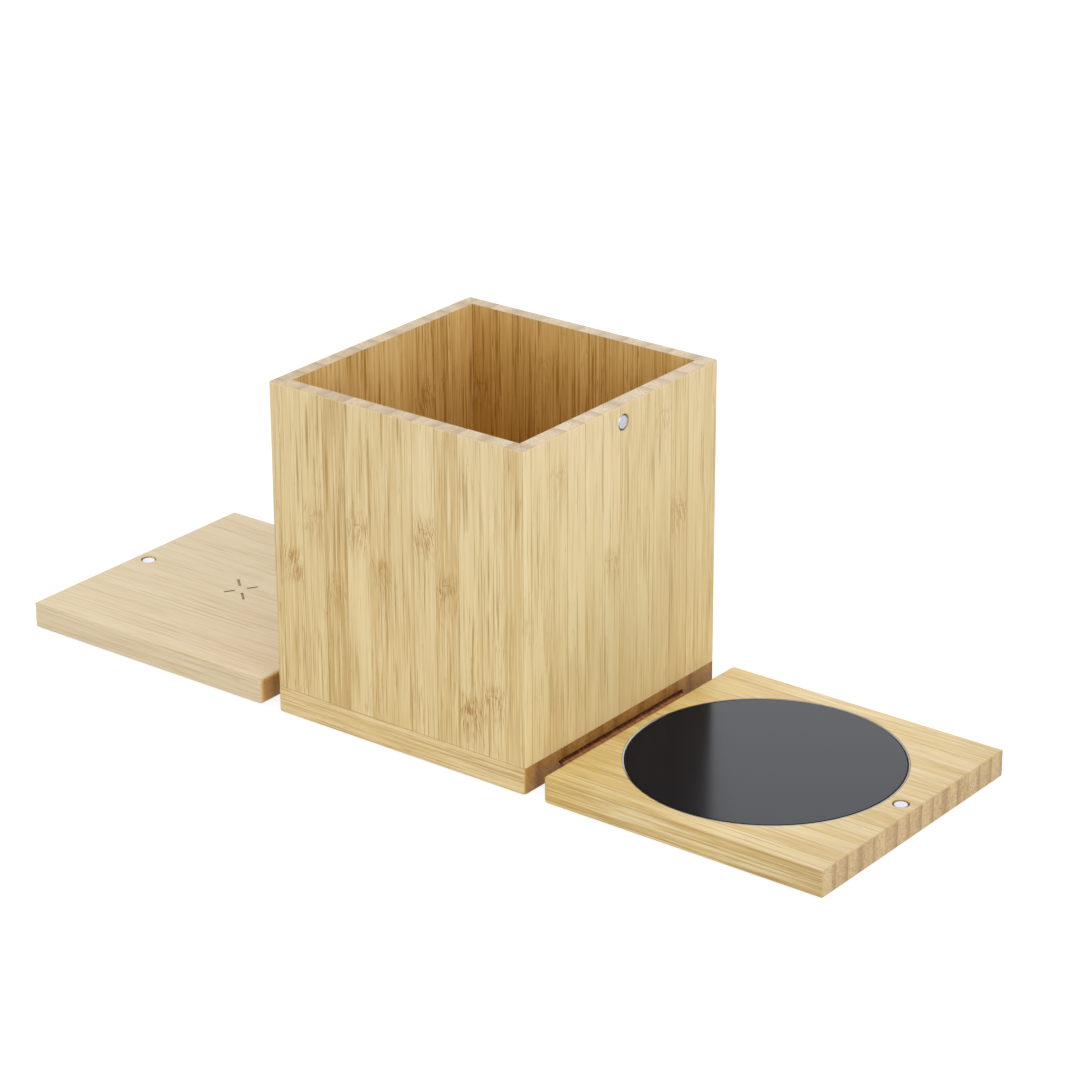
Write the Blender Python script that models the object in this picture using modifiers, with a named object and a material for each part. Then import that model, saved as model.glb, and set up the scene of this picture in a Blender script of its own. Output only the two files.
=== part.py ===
"""A bamboo pen box with a fold-up side panel on each side.

The left panel charges a phone without a wire, and the right panel keeps a mug warm.
Each panel hangs on a flexible strap, folds up against the box and is held there by a
pair of magnets. Metres, +Z up. X runs along the row, the front faces -Y, and the
origin is on the table under the middle of the box.
"""

import math

import bmesh
import bpy
from mathutils import Matrix, Vector

# Pen box
box_width = 0.0900
box_depth = 0.0900
box_height = 0.1015
wall_thick = 0.0048
corner_radius = 0.0011
glue_line = 0.0001
mitre_gap = 0.00005

# Boards of the base and of the two panels
board_thick = 0.0080
panel_length = 0.0918
inner_edge_radius = 0.0013
edge_ease = 0.0004

# Running fits, overruns of the cuts and the distance at which points are joined
fit = 0.0003
overrun = 0.0040
weld = 0.00001

# Folding: the gap beside the box, and how far above it a folded panel's edge stands
hinge_gap = 0.0063
fold_rise = 0.0030
fold_clearance = 0.0003

# Flexible straps and the flat leads under them
strap_width = 0.0585
strap_thick = 0.0006
strap_slack = 0.0004
kerf_depth = 0.0100
lead_width = 0.0120
lead_thick = 0.0006

# Magnets, and how far below the rim or the folded panel's end they meet
magnet_radius = 0.00215
magnet_thick = 0.0020
magnet_drop = 0.0048
magnet_chamfer = 0.0003
magnet_sink = 0.0002

# Feet
foot_radius = 0.0040
foot_thick = 0.0012
foot_proud = 0.0005
foot_chamfer = 0.0004
foot_inset = 0.0056
panel_foot_inset = 0.0090

# Screws
screw_head_radius = 0.0016
screw_head_thick = 0.0008
screw_shank_radius = 0.0007
cover_screw_length = 0.0048
recess_span = 0.0019
recess_slot = 0.0005
recess_tip = 0.0004
recess_depth = 0.0004

# Covers let into the undersides
cover_thick = 0.0015
cover_ledge = 0.0055
post_radius = 0.0020

# Circuit boards, with the room that they leave in the boards round them
control_end_room = 0.0200
charger_end_room = 0.0135
circuit_side_room = 0.0180
circuit_thick = 0.0010
control_lift = 0.0014
pocket_side_room = 0.0020
connector_length = 0.0024
connector_height = 0.0020
chip_height = 0.0008
chip_side = 0.0050

# Power socket
socket_width = 0.0089
socket_height = 0.0032
socket_length = 0.0074
socket_wall = 0.0003
socket_setback = 0.0002
insert_length = 0.0018
insert_clearance = 0.0002
tongue_width = 0.0066
tongue_thick = 0.0007
tongue_reach = 0.0044

# Charging stack
coil_edge_room = 0.0010
coil_width = 0.0140
coil_thick = 0.0013
ferrite_border = 0.0006
ferrite_thick = 0.0006
mark_width = 0.0008
mark_depth = 0.0002
mark_long_turn = math.radians(-42)
mark_long_start = 0.0027
mark_long_end = 0.0078
mark_short_turn = math.radians(58)
mark_short_start = 0.0019
mark_short_end = 0.0054

# Warming stack
glass_thick = 0.0020
glass_inner_margin = 0.0038
glass_side_margin = 0.0058
glass_to_magnet = 0.00265
glass_ease = 0.0003
seal_width = 0.00035
seal_clearance = 0.00012
seal_thick = 0.0012
seal_drop = 0.00005
spreader_margin = 0.0100
spreader_thick = 0.0010
film_thick = 0.0004
pad_margin = 0.0022
pad_thick = 0.0016
pad_bore_radius = 0.0018
thermistor_radius = 0.0014
thermistor_thick = 0.0010

# Facets of round shapes
wide_steps = 64
disc_steps = 40
foot_steps = 24
small_steps = 16
corner_steps = 4

# Angles between faces: flatter is one face, flatter is shaded smooth, steeper is an edge
flat_angle = math.radians(1)
smooth_angle = math.radians(35)
edge_angle = math.radians(60)

# Heights and places that follow from the sizes above
underside = foot_proud
board_top = underside + board_thick
rim = underside + box_height
half_width = box_width / 2
half_depth = box_depth / 2
pivot_out = (board_thick + fold_clearance - fold_rise) / 2
pivot_up = underside + (board_thick + fold_clearance + fold_rise) / 2
folded_lift = underside + fold_rise
folded_end = folded_lift + hinge_gap + panel_length
magnet_height = min(rim, folded_end) - magnet_drop
panel_magnet_out = magnet_height - folded_lift
panel_middle_out = hinge_gap + panel_length / 2
kerf_end_out = hinge_gap + kerf_depth

# The strap lies at the height where it is just taut when folded, with its slack taken up
edge_over_face = hinge_gap + fold_rise - board_thick - fold_clearance
free_length = hinge_gap + strap_slack
folded_reach = (math.sqrt(2 * free_length**2 - edge_over_face**2) - edge_over_face) / 2
strap_middle = board_top + fold_clearance - folded_reach
strap_bottom = strap_middle - strap_thick / 2
lead_top = strap_bottom - fit
lead_middle = lead_top - lead_thick / 2
strap_reach = kerf_depth - fit

# Circuit boards, pockets and covers; the charger lies between the kerf and the magnet
control_length = box_width - 2 * control_end_room
charger_length = panel_magnet_out - kerf_end_out - 2 * charger_end_room
charger_middle_out = (panel_magnet_out + kerf_end_out) / 2
circuit_depth = box_depth - 2 * circuit_side_room
connector_room = connector_length + 3 * fit
connector_out = fit + connector_length / 2
lead_end_out = connector_out + connector_length / 2 + fit
pocket_depth = circuit_depth + 2 * pocket_side_room
cover_depth = pocket_depth + 2 * cover_ledge
cover_top = underside + cover_thick
recess_top = cover_top + fit
control_bottom = cover_top + control_lift
control_top = control_bottom + circuit_thick
control_middle = (control_bottom + control_top) / 2
base_pocket_top = control_middle + socket_height / 2 + fit
charger_bottom = cover_top + fit
charger_top = charger_bottom + circuit_thick
ferrite_bottom = charger_top + fit
ferrite_top = ferrite_bottom + ferrite_thick
coil_bottom = ferrite_top + fit
coil_top = coil_bottom + coil_thick
charging_pocket_top = coil_top + fit
coil_radius = min(charger_length, circuit_depth) / 2 - coil_edge_room
coil_bore_radius = coil_radius - coil_width
ferrite_radius = coil_radius + ferrite_border

# The glass fills the room between the hinge and the magnet, or the panel's depth
glass_start_out = hinge_gap + glass_inner_margin
glass_end_out = panel_magnet_out - magnet_radius - glass_to_magnet
glass_middle_out = (glass_start_out + glass_end_out) / 2
glass_radius = min(glass_end_out - glass_start_out, box_depth - 2 * glass_side_margin) / 2
spreader_radius = glass_radius - spreader_margin
pad_radius = spreader_radius - pad_margin

# Warming stack, from the glass down
glass_bottom = board_top - glass_thick
glass_pocket_radius = glass_radius + seal_width + 2 * seal_clearance
glass_ledge = glass_bottom - fit
spreader_bottom = glass_ledge - spreader_thick
film_top = spreader_bottom - fit
film_bottom = film_top - film_thick
pad_top = film_bottom - fit
pad_bottom = pad_top - pad_thick
stack_pocket_bottom = pad_bottom - fit
stack_pocket_radius = spreader_radius + 2 * fit


def clear_scene():
    for old in list(bpy.data.objects):
        bpy.data.objects.remove(old)


def new_collection(name):
    collection = bpy.data.collections.new(name)
    bpy.context.scene.collection.children.link(collection)
    return collection


def new_material(name, colour, roughness, metallic=0.0):
    material = bpy.data.materials.new(name)
    material.use_nodes = True
    shader = material.node_tree.nodes["Principled BSDF"]
    shader.inputs["Base Color"].default_value = (*colour, 1.0)
    shader.inputs["Roughness"].default_value = roughness
    shader.inputs["Metallic"].default_value = metallic
    material.diffuse_color = (*colour, 1.0)
    return material


def add_object(name, mesh, place, colour, smooth=False):
    """A named part with a material of its own; with no colour it is a cutter."""
    obj = bpy.data.objects.new(name, mesh)
    obj.location = place
    if colour is None:
        cutters.objects.link(obj)
        obj.hide_render = True
        obj.display_type = "WIRE"
        return obj
    parts.objects.link(obj)
    mesh.materials.append(new_material(name, *finishes[colour]))
    if smooth:
        mesh.shade_smooth()
        mesh.set_sharp_from_angle(angle=smooth_angle)
    return obj


def mesh_from(bm, name):
    mesh = bpy.data.meshes.new(name)
    bm.to_mesh(mesh)
    bm.free()
    return mesh


def block_bmesh(size):
    bm = bmesh.new()
    bmesh.ops.create_cube(bm, size=1.0)
    bmesh.ops.scale(bm, vec=size, verts=bm.verts)
    return bm


def block(name, size, centre, colour=None):
    return add_object(name, mesh_from(block_bmesh(size), name), centre, colour)


def sharp_edges(bm):
    return [edge for edge in bm.edges if edge.calc_face_angle(0.0) > edge_angle]


def round_edges(bm, edges, radius, steps):
    bmesh.ops.bevel(bm, geom=edges, offset=radius, segments=steps, profile=0.5, affect="EDGES")


def turned_mesh(name, profile, steps, closed=False):
    """A mesh turned about Z from (radius, height) points that run top to bottom."""
    line = bpy.data.meshes.new(name + "_profile")
    points = [(radius, 0.0, height) for radius, height in profile]
    edges = [(n, n + 1) for n in range(len(points) - 1)]
    if closed:
        edges.append((len(points) - 1, 0))
    line.from_pydata(points, edges, [])
    lathe = bpy.data.objects.new(name + "_lathe", line)
    cutters.objects.link(lathe)
    screw = lathe.modifiers.new("turn", "SCREW")
    screw.steps = steps
    screw.render_steps = steps
    screw.use_merge_vertices = True
    screw.merge_threshold = weld
    bpy.context.view_layer.update()
    graph = bpy.context.evaluated_depsgraph_get()
    mesh = bpy.data.meshes.new_from_object(lathe.evaluated_get(graph))
    bpy.data.objects.remove(lathe)
    mesh.name = name
    return mesh


def disc_mesh(name, radius, thick, steps):
    profile = [(0.0, thick / 2), (radius, thick / 2), (radius, -thick / 2), (0.0, -thick / 2)]
    return turned_mesh(name, profile, steps)


def ring_mesh(name, radius, bore, thick, steps):
    top = thick / 2
    profile = [(bore, top), (radius, top), (radius, -top), (bore, -top)]
    return turned_mesh(name, profile, steps, closed=True)


def group_mesh(name, mesh, places):
    """One mesh that holds a separate copy of the given mesh at each place."""
    bm = bmesh.new()
    for place in places:
        before = len(bm.verts)
        bm.from_mesh(mesh)
        bm.verts.ensure_lookup_table()
        bmesh.ops.translate(bm, vec=Vector(place), verts=bm.verts[before:])
    return mesh_from(bm, name)


def cutter_group(name, mesh, places):
    return add_object(name, group_mesh(name, mesh, places), (0.0, 0.0, 0.0), None)


def copies(name, mesh, places, colour, smooth=False):
    """An object of its own for each place, numbered from 1, all with the same mesh."""
    pieces = []
    for n, place in enumerate(places, 1):
        piece = add_object(f"{name}_{n}", mesh.copy(), place, colour, smooth)
        pieces.append(piece)
    return pieces


def cut(target, cutter, operation="DIFFERENCE"):
    boolean = target.modifiers.new(cutter.name, "BOOLEAN")
    boolean.operation = operation
    boolean.object = cutter
    return target


def outline_mesh(name, outlines, thick):
    """A flat outline with straight sides, extruded along Z, as a welded mesh."""
    curve = bpy.data.curves.new(name + "_outline", "CURVE")
    curve.dimensions = "2D"
    curve.fill_mode = "BOTH"
    curve.extrude = thick / 2
    for outline in outlines:
        spline = curve.splines.new("POLY")
        spline.points.add(len(outline) - 1)
        spline.use_cyclic_u = True
        for point, (x, y) in zip(spline.points, outline):
            point.co = (x, y, 0.0, 1.0)
    guide = bpy.data.objects.new(name + "_guide", curve)
    cutters.objects.link(guide)
    bpy.context.view_layer.update()
    graph = bpy.context.evaluated_depsgraph_get()
    mesh = bpy.data.meshes.new_from_object(guide.evaluated_get(graph))
    bpy.data.objects.remove(guide)
    bm = bmesh.new()
    bm.from_mesh(mesh)
    bmesh.ops.remove_doubles(bm, verts=bm.verts, dist=weld)
    bmesh.ops.dissolve_limit(bm, angle_limit=flat_angle, verts=bm.verts, edges=bm.edges)
    bmesh.ops.recalc_face_normals(bm, faces=bm.faces)
    return mesh_from(bm, name)


def stadium(width, height, steps):
    """The points of a slot outline with round ends, wider than it is high."""
    radius = height / 2
    reach = width / 2 - radius
    points = []
    for end in (1, -1):
        for n in range(steps + 1):
            angle = math.pi * (n / steps - 0.5)
            points.append((end * (reach + radius * math.cos(angle)), end * radius * math.sin(angle)))
    return points


def cross(span, width, tip_width):
    """The twelve points of a cross whose arms narrow a little, going round it."""
    reach = span / 2
    half = width / 2
    tip = tip_width / 2
    quarter = [(reach, -tip), (reach, tip), (half, half)]
    points = []
    for turn in range(4):
        for x, y in quarter:
            for _ in range(turn):
                x, y = -y, x
            points.append((x, y))
    return points


def ride(empty, *pieces):
    """The pieces turn with this hinge's empty and stay where they were placed."""
    for piece in pieces:
        piece.parent = empty
        piece.matrix_parent_inverse = empty.matrix_world.inverted()


def outward(side, distance):
    """X at a distance out from the box's side: side is 1 to the right, -1 to the left."""
    return side * (half_width + distance)


def corners(along, across, middle=0.0):
    return [(middle + x * along, y * across) for x in (-1, 1) for y in (-1, 1)]


def at_height(places, height):
    return [(x, y, height) for x, y in places]


# Fasteners, feet and the holes for them


def screw_mesh(name, length):
    """A pan-head screw with its head's face at 0 and its point up."""
    tip = screw_shank_radius
    profile = [
        (0.0, length),
        (screw_shank_radius, length - tip),
        (screw_shank_radius, screw_head_thick),
        (screw_head_radius, screw_head_thick),
        (screw_head_radius, 0.0),
        (0.0, 0.0),
    ]
    return turned_mesh(name, profile, small_steps)


def screws(name, places, length):
    plus = cross(recess_span, recess_slot, recess_tip)
    recess_mesh = outline_mesh(name + "_recess", [plus], 2 * recess_depth)
    heads = at_height(places, underside)
    recesses = cutter_group(name + "_recesses", recess_mesh, heads)
    pieces = copies(name, screw_mesh(name, length), heads, "steel", smooth=True)
    return [cut(piece, recesses) for piece in pieces]


def screw_holes(name, places, length):
    """Holes with a counterbore, open below the underside."""
    profile = [
        (0.0, length + fit),
        (screw_shank_radius + fit, length + fit),
        (screw_shank_radius + fit, screw_head_thick + fit),
        (screw_head_radius + fit, screw_head_thick + fit),
        (screw_head_radius + fit, -overrun),
        (0.0, -overrun),
    ]
    hole_mesh = turned_mesh(name, profile, small_steps)
    return cutter_group(name, hole_mesh, at_height(places, underside))


def feet(name, places):
    profile = [
        (0.0, foot_thick),
        (foot_radius, foot_thick),
        (foot_radius, foot_chamfer),
        (foot_radius - foot_chamfer, 0.0),
        (0.0, 0.0),
    ]
    foot_mesh = turned_mesh(name, profile, foot_steps)
    return copies(name, foot_mesh, at_height(places, 0.0), "rubber", smooth=True)


def foot_recesses(name, places):
    top = foot_thick + fit
    wide = foot_radius + fit
    profile = [(0.0, top), (wide, top), (wide, -overrun), (0.0, -overrun)]
    return cutter_group(name, turned_mesh(name, profile, foot_steps), at_height(places, 0.0))


# Pen box


def box_envelope():
    """The rounded outside of the whole box, which trims its walls and its base."""
    bm = block_bmesh((box_width, box_depth, box_height))
    upright = [edge for edge in bm.edges if edge.verts[0].co.z * edge.verts[1].co.z < 0]
    round_edges(bm, upright, corner_radius, corner_steps)
    round_edges(bm, sharp_edges(bm), edge_ease, 2)
    middle = (0.0, 0.0, underside + box_height / 2)
    return add_object("box_envelope", mesh_from(bm, "box_envelope"), middle, None)


def mitred_wall(name, length, far_side, turn, envelope):
    """A wall along X with mitred ends, turned about Z into its place."""
    height = rim - board_top - glue_line + overrun
    thick = wall_thick + overrun
    bm = block_bmesh((length + 2 * overrun - mitre_gap * math.sqrt(2), thick, height))
    for vert in bm.verts:
        if vert.co.y > 0:
            vert.co.x -= math.copysign(thick, vert.co.x)
    middle = far_side - wall_thick + thick / 2
    bmesh.ops.translate(bm, vec=(0.0, -middle, board_top + glue_line + height / 2), verts=bm.verts)
    wall = add_object(name, mesh_from(bm, name), (0.0, 0.0, 0.0), "bamboo")
    wall.rotation_euler.z = turn
    return cut(wall, envelope, "INTERSECT")


def magnet(name, place, turn=0.0):
    top = magnet_thick / 2
    flat = magnet_radius - magnet_chamfer
    upper = [(0.0, top), (flat, top), (magnet_radius, top - magnet_chamfer)]
    lower = [(radius, -height) for radius, height in reversed(upper)]
    mesh = turned_mesh(name, upper + lower, disc_steps)
    piece = add_object(name, mesh, place, "magnet", smooth=True)
    piece.rotation_euler.y = turn
    return piece


def magnet_hole(name, place, turn=0.0):
    depth = magnet_sink + magnet_thick + fit
    hole = disc_mesh(name, magnet_radius + fit, 2 * depth, disc_steps)
    piece = add_object(name, hole, place, None)
    piece.rotation_euler.y = turn
    return piece


def box_walls(envelope):
    quarter = math.pi / 2
    mitred_wall("front_wall", box_width, half_depth, 0.0, envelope)
    mitred_wall("back_wall", box_width, half_depth, math.pi, envelope)
    for side, name in ((1, "right"), (-1, "left")):
        wall = mitred_wall(name + "_wall", box_depth, half_width, side * quarter, envelope)
        middle = half_width - magnet_sink - magnet_thick / 2
        magnet("box_magnet_" + name, (side * middle, 0.0, magnet_height), quarter)
        cut(wall, magnet_hole("box_magnet_hole_" + name, (side * half_width, 0.0, magnet_height), quarter))


def strap_kerf(name, side, start, away):
    """A saw kerf for the strap in a board's edge, and a slot for the lead below it."""
    reach = kerf_depth + overrun
    middle = outward(side, start + away * (kerf_depth - overrun) / 2)
    height = strap_thick + 2 * fit
    return block(name, (reach, strap_width + 2 * fit, height), (middle, 0.0, strap_middle))


def lead_slot(name, side, start, away, reach):
    """The lead's slot runs from the board's edge under the kerf into the pocket."""
    bottom = lead_middle - lead_thick / 2 - fit
    middle = outward(side, start + away * (reach - overrun) / 2)
    size = (reach + overrun, lead_width + 2 * fit, strap_middle - bottom)
    return block(name, size, (middle, 0.0, (strap_middle + bottom) / 2))


def pocket_length(circuit_length):
    return circuit_length + 2 * connector_room


def cover_screw_places(middle, circuit_length):
    along = (pocket_length(circuit_length) + cover_ledge) / 2
    return corners(along, (pocket_depth + cover_ledge) / 2, middle)


def underside_pocket(board, name, middle, circuit_length, top):
    """A pocket for electronics, with a shallow ledge round it for its cover."""
    low = underside - overrun
    length = pocket_length(circuit_length)
    pocket_size = (length, pocket_depth, top - low)
    cut(board, block(name + "_pocket", pocket_size, (middle, 0.0, (top + low) / 2)))
    recess_size = (length + 2 * (cover_ledge + fit), cover_depth + 2 * fit, recess_top - low)
    cut(board, block(name + "_cover_recess", recess_size, (middle, 0.0, (recess_top + low) / 2)))
    places = cover_screw_places(middle, circuit_length)
    cut(board, screw_holes(name + "_cover_screw_holes", places, cover_screw_length))


def cover_posts(name, middle, circuit_length, height):
    """Posts on a cover that carry its circuit board at its four corners."""
    root = cover_thick / 2
    post = disc_mesh(name, post_radius, height + root, small_steps)
    inset = post_radius + fit
    places = corners(circuit_length / 2 - inset, circuit_depth / 2 - inset, middle)
    return cutter_group(name, post, at_height(places, cover_top + (height - root) / 2))


def cover_plate(name, middle, circuit_length, post_height=0.0):
    """A moulded cover held by four screws, with its posts if its board lies higher."""
    size = (pocket_length(circuit_length) + 2 * cover_ledge, cover_depth, cover_thick)
    plate = block(name, size, (middle, 0.0, underside + cover_thick / 2), "plastic")
    if post_height > 0:
        cut(plate, cover_posts(name + "_posts", middle, circuit_length, post_height), "UNION")
    places = cover_screw_places(middle, circuit_length)
    cut(plate, screw_holes(name + "_screw_clearance", places, cover_screw_length))
    return [plate] + screws(name + "_screw", places, cover_screw_length)


def base_board(envelope):
    height = board_thick + overrun
    size = (box_width + 2 * overrun, box_depth + 2 * overrun, height)
    board = block("base_board", size, (0.0, 0.0, board_top - height / 2), "bamboo")
    cut(board, envelope, "INTERSECT")
    underside_pocket(board, "base", 0.0, control_length, base_pocket_top)
    for side, name in ((1, "right"), (-1, "left")):
        cut(board, strap_kerf("base_kerf_" + name, side, 0.0, -1))
        reach = half_width - pocket_length(control_length) / 2 + overrun
        cut(board, lead_slot("base_lead_slot_" + name, side, 0.0, -1, reach))
    foot_places = corners(half_width - foot_inset, half_depth - foot_inset)
    cut(board, foot_recesses("base_foot_recesses", foot_places))
    feet("base_foot", foot_places)
    cut(board, socket_slot())
    cover_plate("base_cover", 0.0, control_length, control_lift - fit)


# Power socket and control board


def socket_outline(name, outlines, length, back_end, colour=None):
    mesh = outline_mesh(name, outlines, length)
    piece = add_object(name, mesh, (0.0, back_end - length / 2, control_middle), colour)
    piece.rotation_euler.x = math.pi / 2
    return piece


def socket_slot():
    wide = stadium(socket_width + 2 * fit, socket_height + 2 * fit, small_steps // 2)
    length = half_depth - pocket_depth / 2 + 2 * overrun
    return socket_outline("socket_slot", [wide], length, half_depth + overrun)


def power_socket():
    """A pressed steel shell round a moulded insert with a thin tongue."""
    outer = stadium(socket_width, socket_height, small_steps // 2)
    inner = stadium(socket_width - 2 * socket_wall, socket_height - 2 * socket_wall, small_steps // 2)
    back_end = half_depth - socket_setback
    socket_outline("usb_c_socket", [outer, inner], socket_length, back_end, "steel")
    skin = 2 * (socket_wall + insert_clearance)
    core = stadium(socket_width - skin, socket_height - skin, small_steps // 2)
    insert_end = back_end - socket_length + insert_length
    insert = socket_outline("usb_c_insert", [core], insert_length, insert_end, "plastic")
    reach = tongue_reach + insert_length / 2
    tongue_middle = insert_end - insert_length / 2 + reach / 2
    tongue_size = (tongue_width, reach, tongue_thick)
    tongue = block("usb_c_tongue", tongue_size, (0.0, tongue_middle, control_middle))
    cut(insert, tongue, "UNION")


def control_board():
    """The board in the base, with a neck that reaches back to the power socket."""
    size = (control_length, circuit_depth, circuit_thick)
    board = block("control_board", size, (0.0, 0.0, control_middle), "circuit")
    neck_end = half_depth - socket_setback - socket_length - fit
    neck_size = (tongue_width, neck_end, circuit_thick)
    neck = block("control_board_neck", neck_size, (0.0, neck_end / 2, control_middle))
    cut(board, neck, "UNION")
    chip("control_chip", 0.0, control_top + fit)
    for side, name in ((1, "right"), (-1, "left")):
        connector("control_connector_" + name, side * (control_length / 2 + connector_out))


def chip(name, x, bottom, y=0.0):
    size = (chip_side, chip_side, chip_height)
    return block(name, size, (x, y, bottom + chip_height / 2), "chip")


def connector(name, x):
    size = (connector_length, lead_width + 2 * fit, connector_height)
    return block(name, size, (x, 0.0, lead_middle), "connector")


# Panels


def panel_board(name, side):
    """A panel's board, with the edges of its inner end rounded more than the others."""
    bm = block_bmesh((panel_length, box_depth, board_thick))
    inner_edges = [edge for edge in bm.edges if all(side * vert.co.x < 0 for vert in edge.verts)]
    round_edges(bm, inner_edges, inner_edge_radius, corner_steps)
    round_edges(bm, sharp_edges(bm), edge_ease, 2)
    middle = (outward(side, panel_middle_out), 0.0, underside + board_thick / 2)
    board = add_object(name + "_board", mesh_from(bm, name), middle, "bamboo")
    cut(board, strap_kerf(name + "_kerf", side, hinge_gap, 1))
    magnet_x = outward(side, panel_magnet_out)
    cut(board, magnet_hole(name + "_magnet_hole", (magnet_x, 0.0, board_top)))
    cut(board, foot_recesses(name + "_foot_recesses", panel_foot_places(side)))
    return board


def panel_foot_places(side):
    spread = half_depth - foot_inset
    outs = (hinge_gap + panel_foot_inset, hinge_gap + panel_length - foot_inset)
    return [(outward(side, out), y) for out in outs for y in (-spread, spread)]


def panel_fittings(name, side):
    """The magnet and feet that both panels have."""
    middle = board_top - magnet_sink - magnet_thick / 2
    held = magnet(name + "_magnet", (outward(side, panel_magnet_out), 0.0, middle))
    return [held] + feet(name + "_foot", panel_foot_places(side))


def hinge_empty(name, side):
    """Marks the line that a panel turns about as its strap bends."""
    empty = bpy.data.objects.new(name, None)
    empty.location = (outward(side, pivot_out), 0.0, pivot_up)
    parts.objects.link(empty)
    bpy.context.view_layer.update()
    return empty


def strap_and_lead(name, side, lead_end):
    """The strap reaches into both kerfs, and the lead under it from pocket to pocket."""
    length = hinge_gap + 2 * strap_reach
    middle = outward(side, hinge_gap / 2)
    block("hinge_strap_" + name, (length, strap_width, strap_thick), (middle, 0.0, strap_middle), "strap")
    lead_start = control_length / 2 + lead_end_out - half_width
    size = (lead_end - lead_start, lead_width, lead_thick)
    place = (outward(side, (lead_end + lead_start) / 2), 0.0, lead_middle)
    block("power_lead_" + name, size, place, "lead")


def mark_stroke(turn, start, end):
    """A stroke of the burnt mark, along a line from the middle of the coil."""
    bm = block_bmesh((end - start, mark_width, 2 * mark_depth))
    bmesh.ops.translate(bm, vec=((start + end) / 2, 0.0, 0.0), verts=bm.verts)
    bmesh.ops.rotate(bm, matrix=Matrix.Rotation(turn, 3, "Z"), verts=bm.verts)
    return mesh_from(bm, "mark_stroke")


def charge_mark(middle):
    """A cross of four burnt strokes, two long and two short, round the middle of the coil."""
    bm = bmesh.new()
    for turn in (0.0, math.pi):
        bm.from_mesh(mark_stroke(mark_long_turn + turn, mark_long_start, mark_long_end))
        bm.from_mesh(mark_stroke(mark_short_turn + turn, mark_short_start, mark_short_end))
    return add_object("charge_mark", mesh_from(bm, "charge_mark"), (middle, 0.0, board_top), None)


def charging_panel():
    side = -1
    hinge = hinge_empty("charging_hinge", side)
    middle = outward(side, charger_middle_out)
    board = panel_board("charging", side)
    underside_pocket(board, "charging", middle, charger_length, charging_pocket_top)
    pocket_start = charger_middle_out - pocket_length(charger_length) / 2 - hinge_gap
    cut(board, lead_slot("charging_lead_slot", side, hinge_gap, 1, pocket_start + overrun))
    cut(board, charge_mark(middle))
    cover_and_screws = cover_plate("charging_cover", middle, charger_length)
    circuit_size = (charger_length, circuit_depth, circuit_thick)
    circuit_place = (middle, 0.0, (charger_bottom + charger_top) / 2)
    circuit = block("charger_circuit_board", circuit_size, circuit_place, "circuit")
    plug_out = charger_middle_out - charger_length / 2 - connector_out
    plug = connector("charger_connector", outward(side, plug_out))
    chip_inset = chip_side / 2 + fit
    chip_x = middle + charger_length / 2 - chip_inset
    driver = chip("charger_chip", chip_x, charger_top + fit, circuit_depth / 2 - chip_inset)
    sheet_mesh = disc_mesh("ferrite_sheet", ferrite_radius, ferrite_thick, disc_steps)
    sheet_place = (middle, 0.0, (ferrite_bottom + ferrite_top) / 2)
    sheet = add_object("ferrite_sheet", sheet_mesh, sheet_place, "ferrite", smooth=True)
    coil_mesh = ring_mesh("charging_coil", coil_radius, coil_bore_radius, coil_thick, disc_steps)
    coil_place = (middle, 0.0, (coil_bottom + coil_top) / 2)
    coil = add_object("charging_coil", coil_mesh, coil_place, "copper", smooth=True)
    strap_and_lead("left", side, charger_middle_out - charger_length / 2 - lead_end_out)
    ride(hinge, board, circuit, plug, driver, sheet, coil)
    ride(hinge, *cover_and_screws, *panel_fittings("charging", side))


def stack_disc(name, mesh, bottom, top, colour):
    middle = outward(1, glass_middle_out)
    return add_object(name, mesh, (middle, 0.0, (bottom + top) / 2), colour, smooth=True)


def glass_plate():
    top = glass_thick / 2
    profile = [
        (0.0, top),
        (glass_radius - glass_ease, top),
        (glass_radius, top - glass_ease),
        (glass_radius, -top),
        (0.0, -top),
    ]
    mesh = turned_mesh("glass_plate", profile, wide_steps)
    return stack_disc("glass_plate", mesh, glass_bottom, board_top, "glass")


def warming_pockets(board):
    """A shallow seat for the glass, and a deeper one for the heater stack."""
    high = board_top + overrun
    for name, radius, bottom in (
        ("glass_seat", glass_pocket_radius, glass_ledge),
        ("heater_seat", stack_pocket_radius, stack_pocket_bottom),
    ):
        seat_mesh = disc_mesh(name, radius, high - bottom, wide_steps)
        cut(board, stack_disc(name, seat_mesh, bottom, high, None))


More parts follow.
